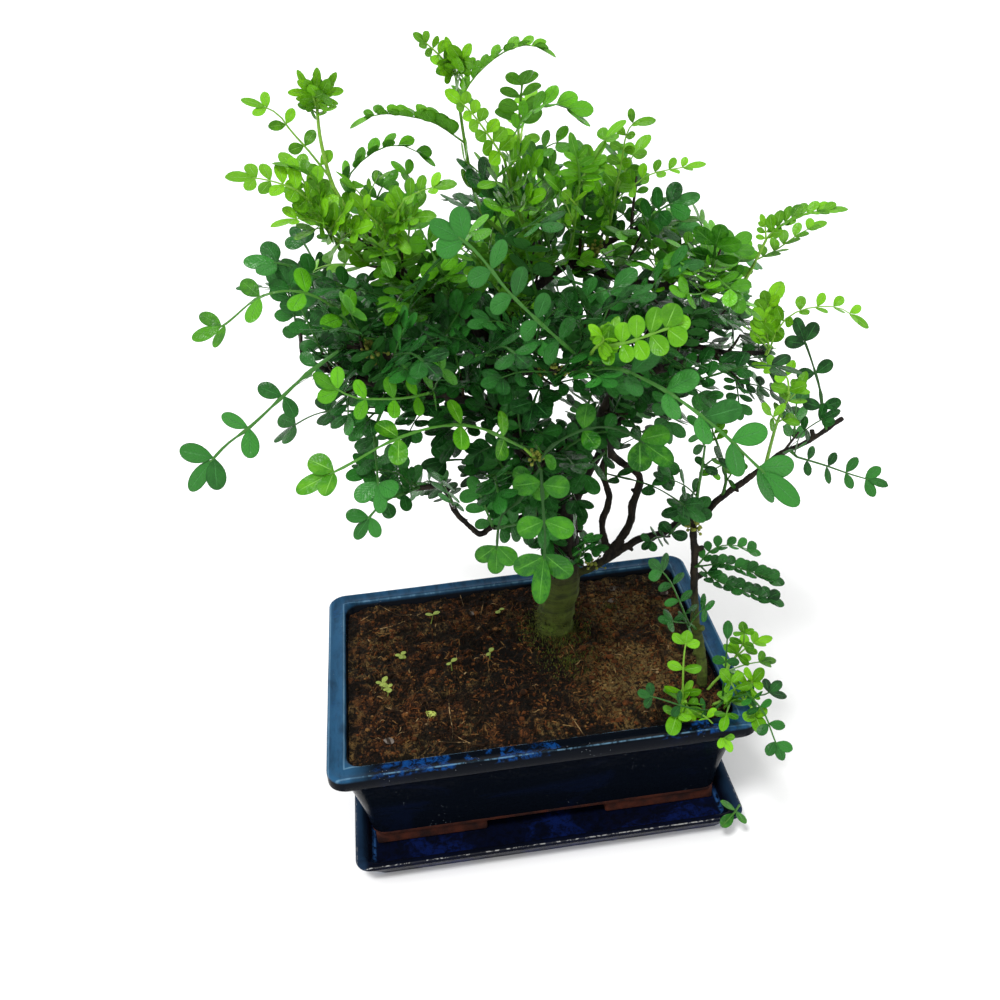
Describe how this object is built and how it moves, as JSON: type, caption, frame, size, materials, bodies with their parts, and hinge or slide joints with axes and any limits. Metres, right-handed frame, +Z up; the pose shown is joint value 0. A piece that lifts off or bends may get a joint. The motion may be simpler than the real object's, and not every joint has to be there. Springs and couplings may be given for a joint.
{
  "type": "potted japanese pepper bonsai tree",
  "caption": "Small leafy bonsai tree with feathery compound leaves on a bare trunk, growing in soil in a glazed rectangular pot that stands on a matching drip tray.",
  "frame": {"origin": "on the ground under the middle of the tray's flat underside", "axes": "+Z up, +X along the pot's length to its right end, +Y towards its back"},
  "size_m": [0.3248, 0.2408, 0.3829],
  "materials": {
    "glaze": "gloss",
    "screen_net": "matte",
    "soil": "matte",
    "bark": "matte",
    "leaf_mature": "gloss",
    "leaf_middle": "satin",
    "leaf_young": "satin"
  },
  "bodies": {
    "root": {"tray": "glaze", "pot": "glaze", "drain_screen_left": "screen_net", "drain_screen_right": "screen_net", "soil": "soil", "trunk": "bark", "side_stem": "bark", "crown_tip_shoot": "leaf_young", "crown_middle_shoot": "leaf_young", "right_arch_shoot": "leaf_middle", "left_tall_shoot": "leaf_young", "left_arch_shoot": "leaf_middle", "left_lime_shoot": "leaf_young", "left_inner_lime_shoot": "leaf_young", "left_dark_shoot": "leaf_mature", "left_olive_shoot": "leaf_middle", "left_hanging_shoot": "leaf_mature", "left_low_olive_shoot": "leaf_middle", "front_lime_shoot": "leaf_young", "front_hanging_shoot": "leaf_middle", "left_low_dark_shoot": "leaf_mature", "front_hero_shoot": "leaf_mature", "right_hero_shoot": "leaf_mature", "front_bright_shoot": "leaf_young", "far_right_shoot": "leaf_mature", "right_upright_dark_shoot": "leaf_mature", "right_arc_shoot": "leaf_young", "right_lime_shoot": "leaf_young", "right_olive_shoot": "leaf_middle", "right_top_lime_shoot": "leaf_young", "right_top_dark_shoot": "leaf_mature", "top_right_green_shoot": "leaf_young", "right_shoulder_shoot": "leaf_mature", "lower_right_fern_shoot": "leaf_mature", "side_stem_low_shoot": "leaf_mature", "side_stem_high_shoot": "leaf_mature", "lower_right_bough_shoot": "leaf_middle", "right_bough_lime_shoot": "leaf_young", "pot_end_upright_lime": "leaf_young", "pot_end_lime_rosette": "leaf_young", "pot_end_back_lime": "leaf_young", "pot_end_dark_shoot": "leaf_mature", "inner_left_shoot": "leaf_mature", "inner_upper_left_shoot": "leaf_middle", "inner_low_left_shoot": "leaf_mature", "inner_front_shoot": "leaf_mature", "inner_middle_shoot": "leaf_mature", "inner_top_shoot": "leaf_mature", "inner_right_shoot": "leaf_mature", "inner_stub_shoot": "leaf_mature", "inner_low_right_shoot": "leaf_mature", "inner_low_middle_shoot": "leaf_mature", "back_left_shoot": "leaf_mature", "back_low_left_shoot": "leaf_mature", "back_left_high_shoot": "leaf_middle", "back_middle_shoot": "leaf_mature", "back_top_shoot": "leaf_young", "back_right_high_shoot": "leaf_middle", "back_right_shoot": "leaf_mature", "back_low_right_shoot": "leaf_mature"}
  },
  "joints": []
}
